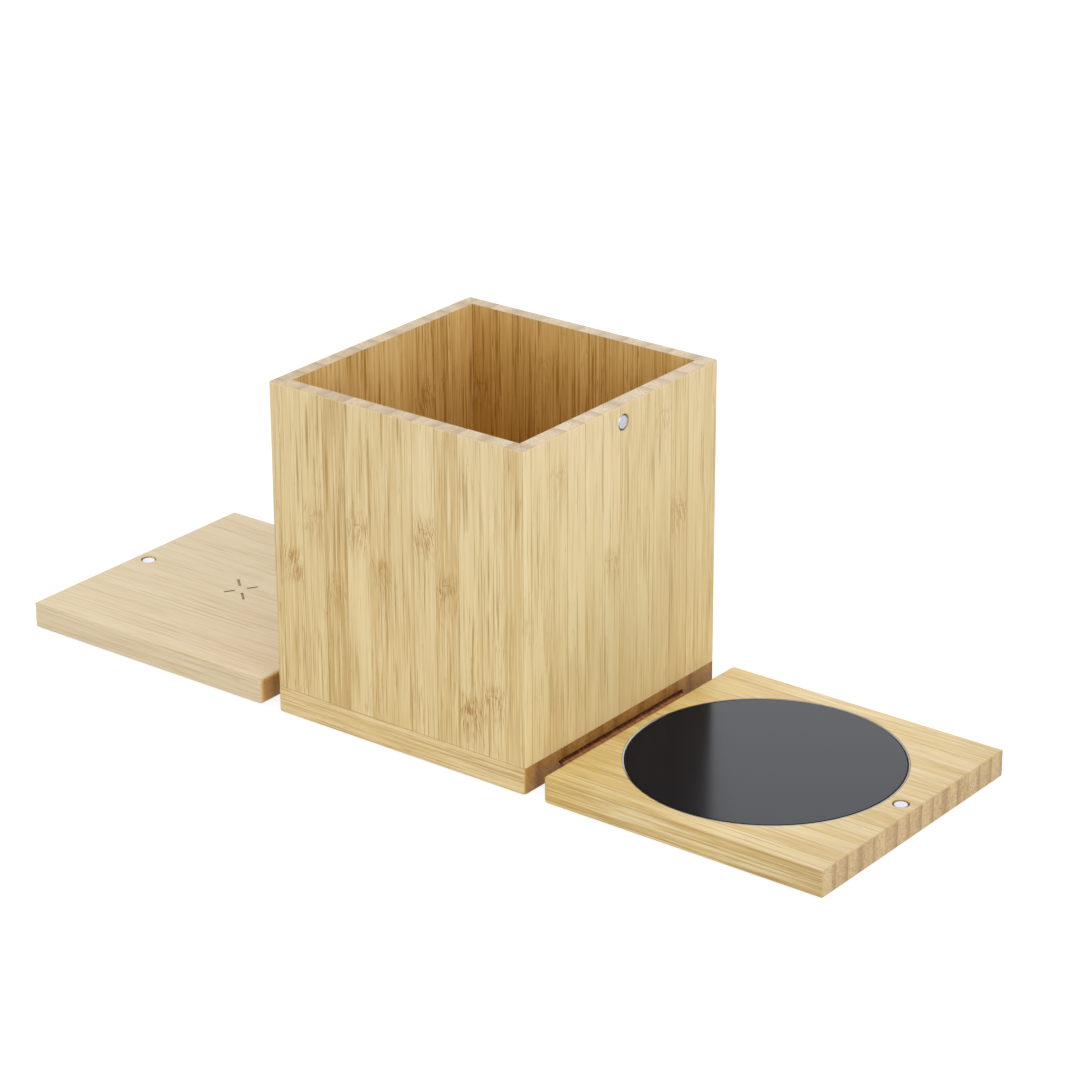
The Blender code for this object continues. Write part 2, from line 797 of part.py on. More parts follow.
def warming_panel():
    side = 1
    hinge = hinge_empty("warming_hinge", side)
    board = panel_board("warming", side)
    warming_pockets(board)
    pocket_start = glass_middle_out - stack_pocket_radius - hinge_gap
    cut(board, lead_slot("warming_lead_slot", side, hinge_gap, 1, pocket_start + overrun))
    seal_bore = glass_radius + seal_clearance
    seal_mesh = ring_mesh("glass_seal", seal_bore + seal_width, seal_bore, seal_thick, wide_steps)
    seal_top = board_top - seal_drop
    seal = stack_disc("glass_seal", seal_mesh, seal_top - seal_thick, seal_top, "seal")
    spreader_mesh = disc_mesh("heat_spreader", spreader_radius, spreader_thick, disc_steps)
    spreader = stack_disc("heat_spreader", spreader_mesh, spreader_bottom, glass_ledge, "aluminium")
    film_mesh = disc_mesh("heater_film", spreader_radius, film_thick, disc_steps)
    film = stack_disc("heater_film", film_mesh, film_bottom, film_top, "film")
    pad_mesh = ring_mesh("insulation_pad", pad_radius, pad_bore_radius, pad_thick, disc_steps)
    pad = stack_disc("insulation_pad", pad_mesh, pad_bottom, pad_top, "felt")
    sensor_mesh = disc_mesh("thermistor", thermistor_radius, thermistor_thick, small_steps)
    sensor = stack_disc("thermistor", sensor_mesh, pad_top - thermistor_thick, pad_top, "chip")
    strap_and_lead("right", side, glass_middle_out - pad_radius - fit)
    ride(hinge, board, glass_plate(), seal, spreader, film, pad, sensor)
    ride(hinge, *panel_fittings("warming", side))


finishes = {
    "bamboo": ((0.72, 0.53, 0.28), 0.5),
    "glass": ((0.006, 0.006, 0.007), 0.06),
    "seal": ((0.75, 0.72, 0.66), 0.5),
    "magnet": ((0.62, 0.62, 0.63), 0.3, 1.0),
    "steel": ((0.55, 0.55, 0.56), 0.3, 1.0),
    "aluminium": ((0.8, 0.8, 0.82), 0.35, 1.0),
    "copper": ((0.7, 0.28, 0.12), 0.35, 1.0),
    "strap": ((0.10, 0.03, 0.012), 0.7),
    "lead": ((0.03, 0.02, 0.015), 0.6),
    "rubber": ((0.03, 0.03, 0.03), 0.85),
    "plastic": ((0.035, 0.035, 0.035), 0.55),
    "circuit": ((0.02, 0.16, 0.07), 0.45),
    "chip": ((0.015, 0.015, 0.017), 0.4),
    "connector": ((0.8, 0.78, 0.7), 0.5),
    "ferrite": ((0.06, 0.06, 0.065), 0.7),
    "film": ((0.45, 0.2, 0.05), 0.4),
    "felt": ((0.7, 0.7, 0.66), 0.95),
}

clear_scene()
parts = new_collection("wireless_charger_pen_holder")
cutters = new_collection("cutters")
envelope = box_envelope()
box_walls(envelope)
base_board(envelope)
power_socket()
control_board()
charging_panel()
warming_panel()
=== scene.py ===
"""The looks of a bamboo pen box with a charging panel and a mug warming panel.

Metres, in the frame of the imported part. Patterns are worked out in millimetres of the
object at rest, so that they stay with a panel when it folds.
"""

import math
from collections import namedtuple

import bmesh
import bpy
from mathutils import Matrix, Vector


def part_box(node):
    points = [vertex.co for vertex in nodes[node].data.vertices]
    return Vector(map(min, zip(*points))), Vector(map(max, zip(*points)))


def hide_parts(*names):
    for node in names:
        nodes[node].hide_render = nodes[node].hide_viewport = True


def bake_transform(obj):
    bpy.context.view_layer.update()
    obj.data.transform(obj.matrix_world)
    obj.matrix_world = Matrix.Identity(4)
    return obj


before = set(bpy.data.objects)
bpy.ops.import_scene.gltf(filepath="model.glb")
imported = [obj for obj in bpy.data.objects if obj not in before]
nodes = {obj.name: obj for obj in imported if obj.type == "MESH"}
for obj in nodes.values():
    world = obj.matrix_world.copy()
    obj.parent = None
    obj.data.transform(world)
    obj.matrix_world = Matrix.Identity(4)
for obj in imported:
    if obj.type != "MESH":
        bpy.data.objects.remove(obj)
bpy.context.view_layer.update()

mm_per_metre = 1000.0
x_axis, y_axis, z_axis = range(3)

# Camera, solved on the edges of the box and of the panels
camera_place = Vector((0.60892, -0.76534, 0.46328))
camera_target = Vector((0.0, 0.02038, 0.04343))
camera_roll = math.radians(-0.259)
camera_lens = 123.83
sensor_width = 36.0
nearest_seen = 0.01

# Light: a place, a side and a power for each softbox, and the sky as light on the object
softboxes = {
    "key": ((1.40, -0.75, 0.99), 1.6, 12.4),
    "fill": ((-0.94, -1.31, 0.94), 1.2, 3.1),
    "back": ((-0.556, 0.971, 0.578), 0.4, 1.74),
}
light_target = Vector((0.0, 0.0, 0.05))
sky_strength = 0.80

# Floor: its side and its depth below the feet, then how much light it sends back where it is
# seen, the glow that brings it up to white there, and how much it sends back elsewhere
floor_size = 6.0
floor_drop = 0.00005
floor_seen = 0.28
floor_glow = 0.84
floor_bounce = 0.72

# Places on the object that the patterns need, in metres
base_low, base_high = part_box("base_board")
_, charge_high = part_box("charging_board")
warm_low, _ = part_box("warming_board")
coil_low, coil_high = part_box("charging_coil")
seal_low, seal_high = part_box("glass_seal")
coil_middle = (coil_low + coil_high) / 2

# Widths of the glued strips in millimetres; a wall's first strip is a cut one
wall_strip = 8.0
wall_first_strip = 3.2
board_strip = 6.0

# The burnt mark, in millimetres: its reach from the coil's middle, and the depths at which
# the brown begins and is full
mark_reach = 8.5
mark_depths = (0.03, 0.12)

# The seal: the direction of its painted highlight, then, in millimetres from its outermost
# point on that side, where the highlight fades and where a painted grey sheen grows
highlight_turn = math.radians(202)
highlight_fades = (1.0, 7.0)
sheen_grows = (18.0, 42.0)

# Where the painted shade on the strap gives way to lighter brown, in millimetres from the box's side
strap_shade_fades = (0.4, 1.1)

# Half the width of one turn of the coil's wire, in millimetres
half_turn = 0.45

# How far the straps and the leads hang down in the gaps beside the box, in metres
band_sag = 0.00095

# Rows of points along and across a strap and a lead
strap_rows = (52, 30)
lead_rows = (96, 6)


# Node building


class Nodes:
    """Builds the nodes of one tree: a value that is a socket is linked, others are set."""

    def __init__(self, tree):
        self.tree = tree

    def put(self, socket, value):
        if isinstance(value, bpy.types.NodeSocket):
            self.tree.links.new(value, socket)
        elif isinstance(value, tuple) and socket.type == "RGBA":
            socket.default_value = (*value[:3], 1.0)
        else:
            socket.default_value = value

    def node(self, kind, inputs=(), **settings):
        """A new node; inputs are values in the order of its sockets, or a dict by socket."""
        made = self.tree.nodes.new("ShaderNode" + kind)
        for name, value in settings.items():
            setattr(made, name, value)
        pairs = inputs.items() if isinstance(inputs, dict) else enumerate(inputs)
        for key, value in pairs:
            self.put(made.inputs[key], value)
        return made

    def math(self, operation, *values, clamp=False):
        return self.node("Math", values, operation=operation, use_clamp=clamp).outputs[0]

    def add(self, a, b):
        return self.math("ADD", a, b)

    def take(self, a, b):
        return self.math("SUBTRACT", a, b)

    def times(self, a, b):
        return self.math("MULTIPLY", a, b)

    def size_of(self, a):
        return self.math("ABSOLUTE", a)

    def share(self, value, whole):
        """Value as a share of the whole, held between 0 and 1."""
        return self.math("DIVIDE", value, whole, clamp=True)

    def swing(self, value, reach):
        """A value from 0 to 1 turned into one that swings round 0, reach from end to end."""
        return self.times(self.take(value, 0.5), reach)

    def smooth(self, value, low, high, out_low=0.0, out_high=1.0):
        """A smooth step from out_low to out_high where value goes from low to high."""
        values = (value, low, high, out_low, out_high)
        return self.node("MapRange", values, interpolation_type="SMOOTHSTEP").outputs[0]

    def fall(self, value, low, high):
        """A smooth step down from 1 to 0."""
        return self.smooth(value, low, high, 1.0, 0.0)

    def vector(self, x, y, z):
        return self.node("CombineXYZ", (x, y, z)).outputs[0]

    def split(self, vector):
        made = self.node("SeparateXYZ", (vector,))
        return made.outputs[0], made.outputs[1], made.outputs[2]

    def scaled(self, vector, scale):
        return self.node("VectorMath", {0: vector, "Scale": scale}, operation="SCALE").outputs[0]

    def noise(self, vector, detail=2.0, roughness=0.5, distortion=0.0):
        values = {"Vector": vector, "Scale": 1.0, "Detail": detail}
        values.update({"Roughness": roughness, "Distortion": distortion})
        return self.node("TexNoise", values).outputs["Fac"]

    def dots(self, vector, scale=1.0):
        """The distance to the nearest of many scattered points."""
        values = {"Vector": vector, "Scale": scale}
        return self.node("TexVoronoi", values, feature="F1").outputs["Distance"]

    def random(self, value, seed):
        """A random number from 0 to 1 for each whole number."""
        place = self.vector(value, seed, 0.0)
        return self.node("TexWhiteNoise", {"Vector": place}, noise_dimensions="2D").outputs["Value"]

    def mix(self, factor, a, b, blend="MIX"):
        """A mix of two colours, which are sockets 6 and 7 of the node and come out at 2."""
        values = {0: factor, 6: a, 7: b}
        return self.node("Mix", values, data_type="RGBA", blend_type=blend).outputs[2]

    def tinted(self, factor, colour, tint):
        return self.mix(factor, colour, tint, "MULTIPLY")

    def ramp(self, factor, stops, constant=False):
        """Colours along a factor; stops are (position, colour) from low to high."""
        made = self.node("ValToRGB", (factor,))
        made.color_ramp.interpolation = "CONSTANT" if constant else "LINEAR"
        elements = made.color_ramp.elements
        while len(elements) > 1:
            elements.remove(elements[-1])
        for index, (position, colour) in enumerate(stops):
            element = elements[0] if index == 0 else elements.new(position)
            element.position = position
            element.color = (*colour, 1.0)
        return made.outputs[0]

    def mottled(self, grain, dark, light):
        """Two colours in patches, where the noise is low and where it is high."""
        return self.ramp(grain, [(0.3, dark), (0.7, light)])


class Shading(Nodes):
    """A material under construction."""

    def __init__(self, name):
        self.material = bpy.data.materials.new(name)
        self.material.use_nodes = True
        super().__init__(self.material.node_tree)
        self.shader = self.tree.nodes["Principled BSDF"]

    def object_mm(self):
        """Where a point is on the object at rest, in millimetres."""
        return self.scaled(self.node("TexCoord").outputs["Object"], mm_per_metre)

    def object_normal(self):
        return self.node("TexCoord").outputs["Normal"]

    def bump(self, height, distance_mm, strength):
        values = {"Strength": strength, "Distance": distance_mm / mm_per_metre, "Height": height}
        self.put(self.shader.inputs["Normal"], self.node("Bump", values).outputs[0])

    def finish(self, colour, roughness, metallic=0.0, **constants):
        """Sets the shader; a constant's name is its socket's, with underscores for spaces."""
        self.put(self.shader.inputs["Base Color"], colour)
        self.put(self.shader.inputs["Roughness"], roughness)
        self.put(self.shader.inputs["Metallic"], metallic)
        for name, value in constants.items():
            self.shader.inputs[name.replace("_", " ")].default_value = value
        return self.material


def away_from(m, x, y, middle):
    """How far x and y, in millimetres, are from a middle that is given in metres."""
    dx = m.take(x, middle.x * mm_per_metre)
    dy = m.take(y, middle.y * mm_per_metre)
    return m.math("SQRT", m.add(m.times(dx, dx), m.times(dy, dy)))


# Strips of the bamboo boards

# A strip is (tone from 0 dark to 1 light, place of its knot along the board from 0 to 1,
# strength of the knot). The strips run across the board from its low side.

front_strips = [
    (0.55, 0.30, 0.0),
    (0.70, 0.451, 0.8),
    (0.66, 0.609, 0.45),
    (0.30, 0.403, 0.6),
    (0.78, 0.617, 0.75),
    (0.50, 0.505, 0.6),
    (0.62, 0.80, 0.1),
    (0.74, 0.662, 0.9),
    (0.42, 0.511, 1.0),
    (0.78, 0.139, 1.2),
    (0.74, 0.202, 0.75),
    (0.40, 0.90, 0.0),
]
right_strips = [
    (0.92, 0.452, 0.25),
    (0.84, 0.90, 0.0),
    (0.80, 0.882, 0.35),
    (0.92, 0.10, 0.0),
    (0.82, 0.30, 0.0),
    (0.90, 0.526, 0.45),
    (0.72, 0.90, 0.0),
    (0.80, 0.95, 0.0),
    (0.74, 0.92, 0.35),
    (0.64, 0.583, 0.60),
    (0.76, 0.60, 0.0),
    (0.68, 0.15, 0.0),
]
back_strips = [
    (0.62, 0.30, 0.6),
    (0.45, 0.74, 0.8),
    (0.70, 0.15, 0.4),
    (0.40, 0.55, 1.0),
    (0.66, 0.86, 0.5),
    (0.50, 0.40, 0.7),
    (0.72, 0.66, 0.9),
    (0.38, 0.22, 0.6),
    (0.60, 0.50, 0.5),
    (0.48, 0.80, 1.0),
    (0.68, 0.34, 0.6),
    (0.55, 0.60, 0.3),
]
left_strips = [
    (0.66, 0.62, 0.5),
    (0.50, 0.20, 0.6),
    (0.58, 0.70, 1.0),
    (0.70, 0.90, 0.3),
    (0.44, 0.44, 0.8),
    (0.62, 0.12, 0.5),
    (0.74, 0.56, 0.7),
    (0.52, 0.30, 0.4),
    (0.64, 0.78, 0.8),
    (0.42, 0.50, 0.6),
    (0.60, 0.24, 0.5),
    (0.70, 0.66, 0.4),
]
board_tones = (0.80, 0.50, 0.68, 0.56, 0.74, 0.46, 0.66, 0.52, 0.72, 0.58, 0.68, 0.44, 0.70, 0.54, 0.64)
board_strips = [(tone, 0.5, 0.0) for tone in board_tones]

# The colours of bamboo; the arris is the rounded edge of a board
wall_colours = {
    "dark": (0.53, 0.35, 0.125),
    "mid": (0.695, 0.523, 0.25),
    "light": (0.82, 0.68, 0.40),
    "line": (0.42, 0.245, 0.06),
    "knot": (0.41, 0.215, 0.035),
    "arris": (0.72, 0.57, 0.33),
    "end_dark": (0.38, 0.265, 0.145),
    "end_light": (0.695, 0.55, 0.35),
}
back_colours = wall_colours | {
    "dark": (0.50, 0.315, 0.10),
    "mid": (0.65, 0.465, 0.195),
    "light": (0.75, 0.59, 0.30),
}
base_colours = wall_colours | {
    "arris": (0.56, 0.38, 0.14),
    # The base's cut ends are seen only in the gaps beside the box, and these dark colours are painted shade.
    "end_dark": (0.20, 0.085, 0.018),
    "end_light": (0.50, 0.26, 0.06),
}
warm_colours = base_colours | {
    "mid": (0.67, 0.485, 0.19),
    "end_dark": (0.33, 0.195, 0.08),
    "end_light": (0.72, 0.54, 0.285),
}
pale_colours = {
    "dark": (0.66, 0.505, 0.295),
    "mid": (0.715, 0.58, 0.37),
    "light": (0.76, 0.64, 0.44),
    "line": (0.54, 0.38, 0.19),
    "knot": (0.40, 0.25, 0.10),
    "arris": (0.60, 0.42, 0.18),
    "end_dark": (0.385, 0.26, 0.12),
    "end_light": (0.68, 0.524, 0.288),
}
burnt_dark = (0.24, 0.155, 0.07)
burnt_light = (0.38, 0.27, 0.135)

# Painted shade inside the box: what the inside multiplies its colours by, at the rim and from a
# depth in millimetres on, darker and warmer deeper down
inside_shade_high = (1.0, 0.88, 0.66)
inside_shade_low = (0.88, 0.66, 0.32)
inside_shade_depth = 40.0

# Painted shade in the gap: what the end of a panel next to the hinge multiplies its colours by
hinge_end_shade = (0.88, 0.63, 0.33)

# What a board multiplies its colours by, at shares of its length from its low end; on the
# walls the low end is warmer and a little darker, which is painted shade
plain = (1.0, 1.0, 1.0)
plain_tints = [(0.0, plain)]
base_tints = [(0.0, (1.0, 0.965, 0.88))]
front_shade_tints = [(0.0, (1.0, 0.975, 0.89)), (1.0, plain)]
wall_shade_tints = [(0.0, (1.0, 0.965, 0.82)), (1.0, plain)]
# On the warming board: warmer beside the box, which is painted shade and painted warm bounce light from the
# box, and darker at its far end
warm_shade_tints = [(0.0, (1.0, 0.97, 0.77)), (0.3, plain), (0.65, plain), (1.0, (0.89, 0.88, 0.90))]


# The pattern of bamboo

# Fibres are a noise that is drawn out along the grain. Cross and along are its counts per
# millimetre, start and full are where in it a line begins and is at its strongest, and dark
# and pale are the strengths of its two kinds of line.
Fibres = namedtuple("Fibres", "seed cross along start full dark pale")
fibre_sets = (
    Fibres(seed=13.0, cross=1.2, along=0.020, start=0.57, full=0.63, dark=0.80, pale=0.65),
    Fibres(seed=29.0, cross=2.8, along=0.035, start=0.55, full=0.62, dark=0.70, pale=0.70),
    Fibres(seed=57.0, cross=2.4, along=0.130, start=0.62, full=0.68, dark=0.65, pale=0.0),
)

# A knot, in millimetres: how far its line wanders, where along the grain from that line its
# patch of strokes grows and ends, where the patch fades beside the strip's middle, where its
# tails end, and how thick and how long the line is
knot_bend = 6.0
knot_patch_grows = (-12.0, -2.0)
knot_patch_ends = (0.5, 6.0)
knot_side_fades = (3.0, 4.2)
knot_tails_end = (4.0, 20.0)
knot_line_thickness = (0.12, 0.42)
knot_line_reach = (0.8, 2.6)

# How strong the parts of a knot and the whole of it are
knot_line_strength = 0.5
knot_patch_strength = 0.06
knot_tail_strength = 0.5
knot_cover = 0.9

# Joints between strips: where they begin and are at their strongest beside the glue line, in
# millimetres, and the strength of the darkest one
joint_begins = 0.22
joint_full = 0.04
joint_strength = 0.7

# The strongest share of the arris colour, and how much stronger lines are inside the box
arris_strength = 0.35
inner_busy = 0.6

# Cut ends: the tone of a strip that needs no change, how much darker a strip is on one side,
# and the share of strips that have this side low
usual_tone = 0.6
end_shade = 0.6
low_side_share = 0.23

# How far apart two strips can take their patterns from, in the noise's own units
shift_range = 90.0

# A board has a direction for each axis, the widths of its strips in millimetres, and tints
# along its length. Busy is how strong its lines are, side_tone is added to the tone of its
# long sides, inward is the side along its through axis that faces the inside of the box, and
# hinge_end is the end along its along axis that is next to a hinge.
Board = namedtuple(
    "Board",
    "across along through strip_width first_width strips colours tints seed busy "
    "side_tone inward hinge_end marked",
    defaults=(0.0, 0.0, 0.0, False),
)

# A point of a board: its places across, through and along the board, the number of its strip,
# its place in the strip from 0 to 1 and from the strip's middle line, and the shift of the
# strip's own pattern. Lengths are in millimetres.
Point = namedtuple("Point", "u t v number inside middle shift")


def point_of(m, place, low, board):
    u = m.take(place[board.across], low[board.across] * mm_per_metre)
    v = m.take(place[board.along], low[board.along] * mm_per_metre)
    position = m.math("DIVIDE", m.add(u, board.strip_width - board.first_width), board.strip_width)
    number = m.math("FLOOR", position)
    inside = m.take(position, number)
    middle = m.swing(inside, board.strip_width)
    shift = m.times(m.random(number, board.seed), shift_range)
    return Point(u, place[board.through], v, number, inside, middle, shift)


def strip_values(m, number, strips):
    """The tone, knot place and knot strength of the strip with this number."""
    count = len(strips)
    stops = [(index / count, strip) for index, strip in enumerate(strips)]
    return m.split(m.ramp(m.share(m.add(number, 0.5), float(count)), stops, constant=True))


def stretched(m, at, cross, along, shift, detail=2.0, roughness=0.5):
    """Noise drawn out along the grain; cross and along are its counts per millimetre."""
    place = m.vector(m.add(m.times(at.u, cross), shift), m.times(at.t, cross), m.times(at.v, along))
    return m.noise(place, detail, roughness)


def facing(m, component):
    """1 where the surface faces along an axis, either way, from that part of its normal."""
    return m.smooth(m.size_of(component), 0.55, 0.8)


def long_grain(m, at, tone, at_side, busy, colours):
    """Fibres seen from the side: clouds of tone, then dark and pale lines and flecks."""
    cloud = stretched(m, at, cross=0.2, along=0.02, shift=at.shift)
    layer = stretched(m, at, cross=1.3, along=0.010, shift=m.add(at.shift, 71.0))
    value = m.add(tone, m.swing(cloud, 0.9))
    value = m.add(value, m.swing(layer, m.times(at_side, 1.7)))
    colour = m.ramp(value, [(0.0, colours["dark"]), (0.5, colours["mid"]), (1.0, colours["light"])])
    where = stretched(m, at, cross=0.25, along=0.03, shift=m.add(at.shift, 31.0))
    much = m.math("MAXIMUM", m.smooth(where, 0.38, 0.60, out_low=0.15, out_high=1.1), at_side)
    much = m.times(much, busy)
    depth = 0.0
    for fibres in fibre_sets:
        shift = m.add(at.shift, fibres.seed)
        fibre = stretched(m, at, fibres.cross, fibres.along, shift, roughness=0.6)
        pale = m.smooth(fibre, 1.0 - fibres.start, 1.0 - fibres.full)
        colour = m.mix(m.times(pale, fibres.pale), colour, colours["light"])
        dark = m.times(m.smooth(fibre, fibres.start, fibres.full), much)
        dark = m.math("MULTIPLY", dark, fibres.dark, clamp=True)
        colour = m.mix(dark, colour, colours["line"])
        depth = m.add(depth, dark)
    return colour, m.take(1.0, depth)


def knot(m, at, place, strength, seed):
    """How dark a strip's knot is here: strokes that fan out from a thin bent line."""
    off_middle = m.size_of(at.middle)
    bend = m.swing(m.noise(m.vector(m.times(at.u, 0.4), seed, 0.0), detail=1.0), knot_bend)
    gap = m.add(m.take(at.v, place), bend)
    off_line = m.size_of(gap)
    patch = m.times(m.smooth(gap, *knot_patch_grows), m.fall(gap, *knot_patch_ends))
    patch = m.times(patch, m.smooth(off_middle, *knot_side_fades, out_low=1.0, out_high=0.4))
    slant = m.swing(m.random(place, seed), 1.5)
    fan = m.times(m.add(m.times(at.middle, 0.05), slant), gap)
    across = m.add(m.times(at.u, 2.8), fan)
    stroke_place = m.vector(across, at.t, m.times(at.v, 0.20))
    stroke = m.noise(stroke_place, roughness=0.6, distortion=0.4)
    strokes = m.times(m.smooth(stroke, 0.52, 0.56), patch)
    tail = m.noise(m.vector(across, m.add(at.t, seed), m.times(at.v, 0.06)), roughness=0.6)
    tails = m.times(m.smooth(tail, 0.57, 0.65), m.fall(off_line, *knot_tails_end))
    line = m.times(m.fall(off_line, *knot_line_thickness), m.fall(off_middle, *knot_line_reach))
    total = m.add(strokes, m.times(line, knot_line_strength))
    total = m.add(total, m.times(patch, knot_patch_strength))
    total = m.add(total, m.times(tails, knot_tail_strength))
    return m.math("MULTIPLY", total, strength, clamp=True)


def end_grain(m, at, tone, seed, colours):
    """Cut ends with dots, which are the fibre bundles, closer on one side of each strip."""
    place = m.vector(m.add(m.times(at.u, 1.1), at.shift), m.times(at.t, 1.15), m.times(at.v, 0.02))
    spot = m.fall(m.dots(place), 0.16, 0.34)
    cloud = stretched(m, at, cross=0.7, along=0.02, shift=at.shift, detail=3.0, roughness=0.6)
    strip_tone = m.times(m.take(tone, usual_tone), 0.7)
    ground = m.add(strip_tone, m.add(m.swing(cloud, 0.9), 0.66))
    colour = m.ramp(ground, [(0.0, colours["end_dark"]), (1.0, colours["end_light"])])
    dark_side = m.math("GREATER_THAN", m.random(at.number, seed + 5.0), low_side_share)
    from_dark_side = m.size_of(m.take(at.inside, dark_side))
    dense = m.smooth(from_dark_side, 0.05, 0.85, out_low=1.0, out_high=0.6)
    shade = m.smooth(from_dark_side, 0.0, 0.5, out_low=end_shade, out_high=0.0)
    colour = m.mix(shade, colour, colours["end_dark"])
    return m.mix(m.times(spot, dense), colour, colours["end_dark"]), spot


def glue_line(m, at, at_side, board):
    """How dark the joint beside a strip is here; each joint has a strength of its own."""
    half = board.strip_width / 2
    near = m.smooth(m.size_of(at.middle), half - joint_begins, half - joint_full)
    near = m.times(near, m.take(1.0, at_side))
    return m.times(near, m.times(m.random(at.number, board.seed + 9.0), joint_strength))


def arris(m, normal):
    """How much of a rounded edge is here, where the surface faces along no axis."""
    squarest = m.math("MAXIMUM", m.size_of(normal[0]), m.size_of(normal[1]))
    squarest = m.math("MAXIMUM", squarest, m.size_of(normal[2]))
    return m.smooth(squarest, 0.9, 0.985, out_low=arris_strength, out_high=0.0)


def burnt(m, colour, place):
    """Browns the floor and the sides of the shallow mark over the middle of the coil."""
    x, y, z = place
    near = m.math("LESS_THAN", away_from(m, x, y, coil_middle), mark_reach)
    sunk = m.smooth(m.take(charge_high.z * mm_per_metre, z), *mark_depths)
    char = m.noise(m.vector(m.times(x, 4.0), m.times(y, 4.0), 0.0))
    return m.mix(m.times(near, sunk), colour, m.mottled(char, burnt_dark, burnt_light))


def bamboo(name, board):
    """Strips glued side by side, with fibres along four sides and cut ends on the other two."""
    m = Shading("bamboo_" + name)
    low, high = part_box(name)
    length = (high[board.along] - low[board.along]) * mm_per_metre
    colours = board.colours
    place = m.split(m.object_mm())
    normal = m.split(m.object_normal())
    at = point_of(m, place, low, board)
    tone, knot_share, knot_strength = strip_values(m, at.number, board.strips)
    at_side = facing(m, normal[board.across])
    at_end = facing(m, normal[board.along])
    inner = m.smooth(m.times(normal[board.through], board.inward), 0.5, 0.9)
    joint = glue_line(m, at, at_side, board)

    long_tone = m.add(tone, m.times(at_side, board.side_tone))
    busy = m.add(m.times(inner, inner_busy), board.busy)
    colour, relief = long_grain(m, at, long_tone, at_side, busy, colours)
    # Tints along the board; on the walls and the warming board they are painted shade.
    colour = m.tinted(1.0, colour, m.ramp(m.share(at.v, length), board.tints))
    colour = m.mix(joint, colour, colours["line"])
    if any(strength for _, _, strength in board.strips):
        spots = knot(m, at, m.times(knot_share, length), knot_strength, board.seed)
        colour = m.mix(m.times(spots, knot_cover), colour, colours["knot"])
    if board.inward:
        # Painted shade inside the box, growing towards the bottom.
        depth = m.share(m.take(length, at.v), inside_shade_depth)
        colour = m.tinted(inner, colour, m.mix(depth, inside_shade_high, inside_shade_low))

    end_colour, end_relief = end_grain(m, at, tone, board.seed, colours)
    end_colour = m.mix(joint, end_colour, colours["end_dark"])
    if board.hinge_end:
        # Painted shade on the end that faces the box across the gap.
        at_hinge = m.smooth(m.times(normal[board.along], board.hinge_end), 0.0, 0.5)
        end_colour = m.tinted(at_hinge, end_colour, hinge_end_shade)

    colour = m.mix(at_end, colour, end_colour)
    colour = m.mix(arris(m, normal), colour, colours["arris"])
    if board.marked:
        colour = burnt(m, colour, place)
    m.bump(m.mix(at_end, relief, end_relief), distance_mm=0.03, strength=0.35)
    return m.finish(colour, roughness=m.add(0.42, m.times(relief, 0.12)))


def paint(material, *names):
    for name in names:
        mesh = nodes[name].data
        mesh.materials.clear()
        mesh.materials.append(material)


def wall(across, through, inward, strips, colours, tints, seed, busy):
    """A standing board, with its grain upright."""
    widths = (wall_strip, wall_first_strip)
    return Board(across, z_axis, through, *widths, strips, colours, tints, seed, busy, inward=inward)


def flat_board(colours, tints, seed, busy, **others):
    """A lying board, with its grain from panel to panel."""
    widths = (board_strip, board_strip)
    return Board(y_axis, x_axis, z_axis, *widths, board_strips, colours, tints, seed, busy, **others)


def bamboo_parts():
    boards = {
        "front_wall": wall(x_axis, y_axis, 1.0, front_strips, wall_colours, front_shade_tints, seed=11.0, busy=1.0),
        "back_wall": wall(x_axis, y_axis, -1.0, back_strips, back_colours, wall_shade_tints, seed=23.0, busy=1.0),
        "right_wall": wall(y_axis, x_axis, -1.0, right_strips, wall_colours, wall_shade_tints, seed=37.0, busy=0.7),
        "left_wall": wall(y_axis, x_axis, 1.0, left_strips, wall_colours, wall_shade_tints, seed=41.0, busy=0.9),
        "base_board": flat_board(base_colours, base_tints, seed=53.0, busy=0.65, side_tone=-0.15),
        "warming_board": flat_board(
            warm_colours, warm_shade_tints, seed=67.0, busy=0.65, side_tone=-0.35, hinge_end=-1.0
        ),
        "charging_board": flat_board(
            pale_colours, plain_tints, seed=71.0, busy=0.6, side_tone=-0.15, hinge_end=1.0, marked=True
        ),
    }
    for name, board in boards.items():
        paint(bamboo(name, board), name)


# Other materials


def speckled(name, dark, light, *, scale, roughness, metallic=0.0, relief_mm=0.0):
    """A plain surface with a fine uneven grain; scale is its counts per millimetre."""
    m = Shading(name)
    grain = m.noise(m.scaled(m.object_mm(), scale), detail=3.0, roughness=0.6)
    if relief_mm:
        m.bump(grain, relief_mm, strength=0.5)
    return m.finish(m.mottled(grain, dark, light), m.add(roughness, m.swing(grain, 0.15)), metallic)


def black_glass():
    m = Shading("black_glass")
    haze = m.noise(m.object_mm())
    colour = m.mottled(haze, (0.0, 0.002, 0.009), (0.001, 0.003, 0.012))
    roughness = m.add(0.16, m.times(haze, 0.03))
    return m.finish(colour, roughness, Specular_IOR_Level=0.05, Specular_Tint=(0.94, 0.98, 1.0, 1.0))


